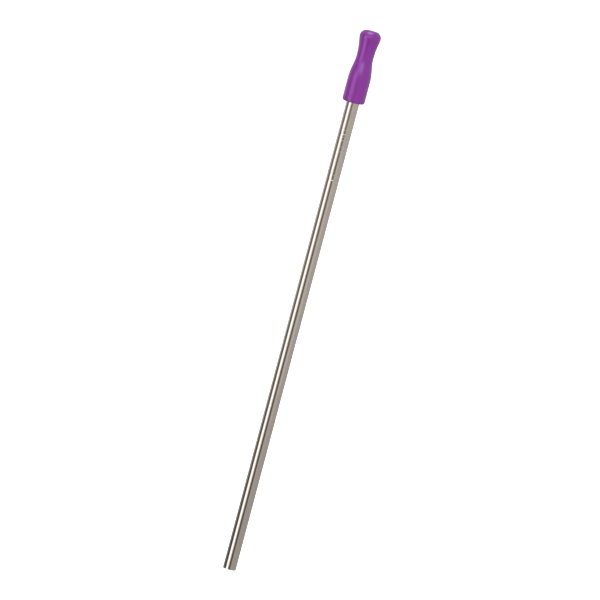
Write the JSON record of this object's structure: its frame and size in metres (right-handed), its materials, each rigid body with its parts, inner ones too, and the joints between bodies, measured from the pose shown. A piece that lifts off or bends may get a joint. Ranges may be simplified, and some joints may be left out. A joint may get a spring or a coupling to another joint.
{
  "type": "drinking straw",
  "caption": "Straight stainless steel drinking straw with an hourglass silicone mouthpiece that pulls off its upper end.",
  "frame": {"origin": "centre of the tube's lower end, the end that goes into the drink", "axes": "+Z along the straw's axis towards the mouthpiece; the straw is round, so +X and +Y are any two directions across it"},
  "size_m": [0.011, 0.011, 0.2667],
  "materials": {
    "drawn_steel": "drawn stainless steel tube, bright, with fine draw lines along its length",
    "purple_silicone": "moulded food-grade silicone, purple, satin"
  },
  "bodies": {
    "straw": {"straw_tube": "drawn_steel"},
    "mouthpiece": {"silicone_tip": "purple_silicone"}
  },
  "joints": [
    {"name": "tip_pull_off", "type": "slide", "parent": "straw", "child": "mouthpiece", "axis": [0, 0, 1], "range_m": [0, 0.04]}
  ]
}
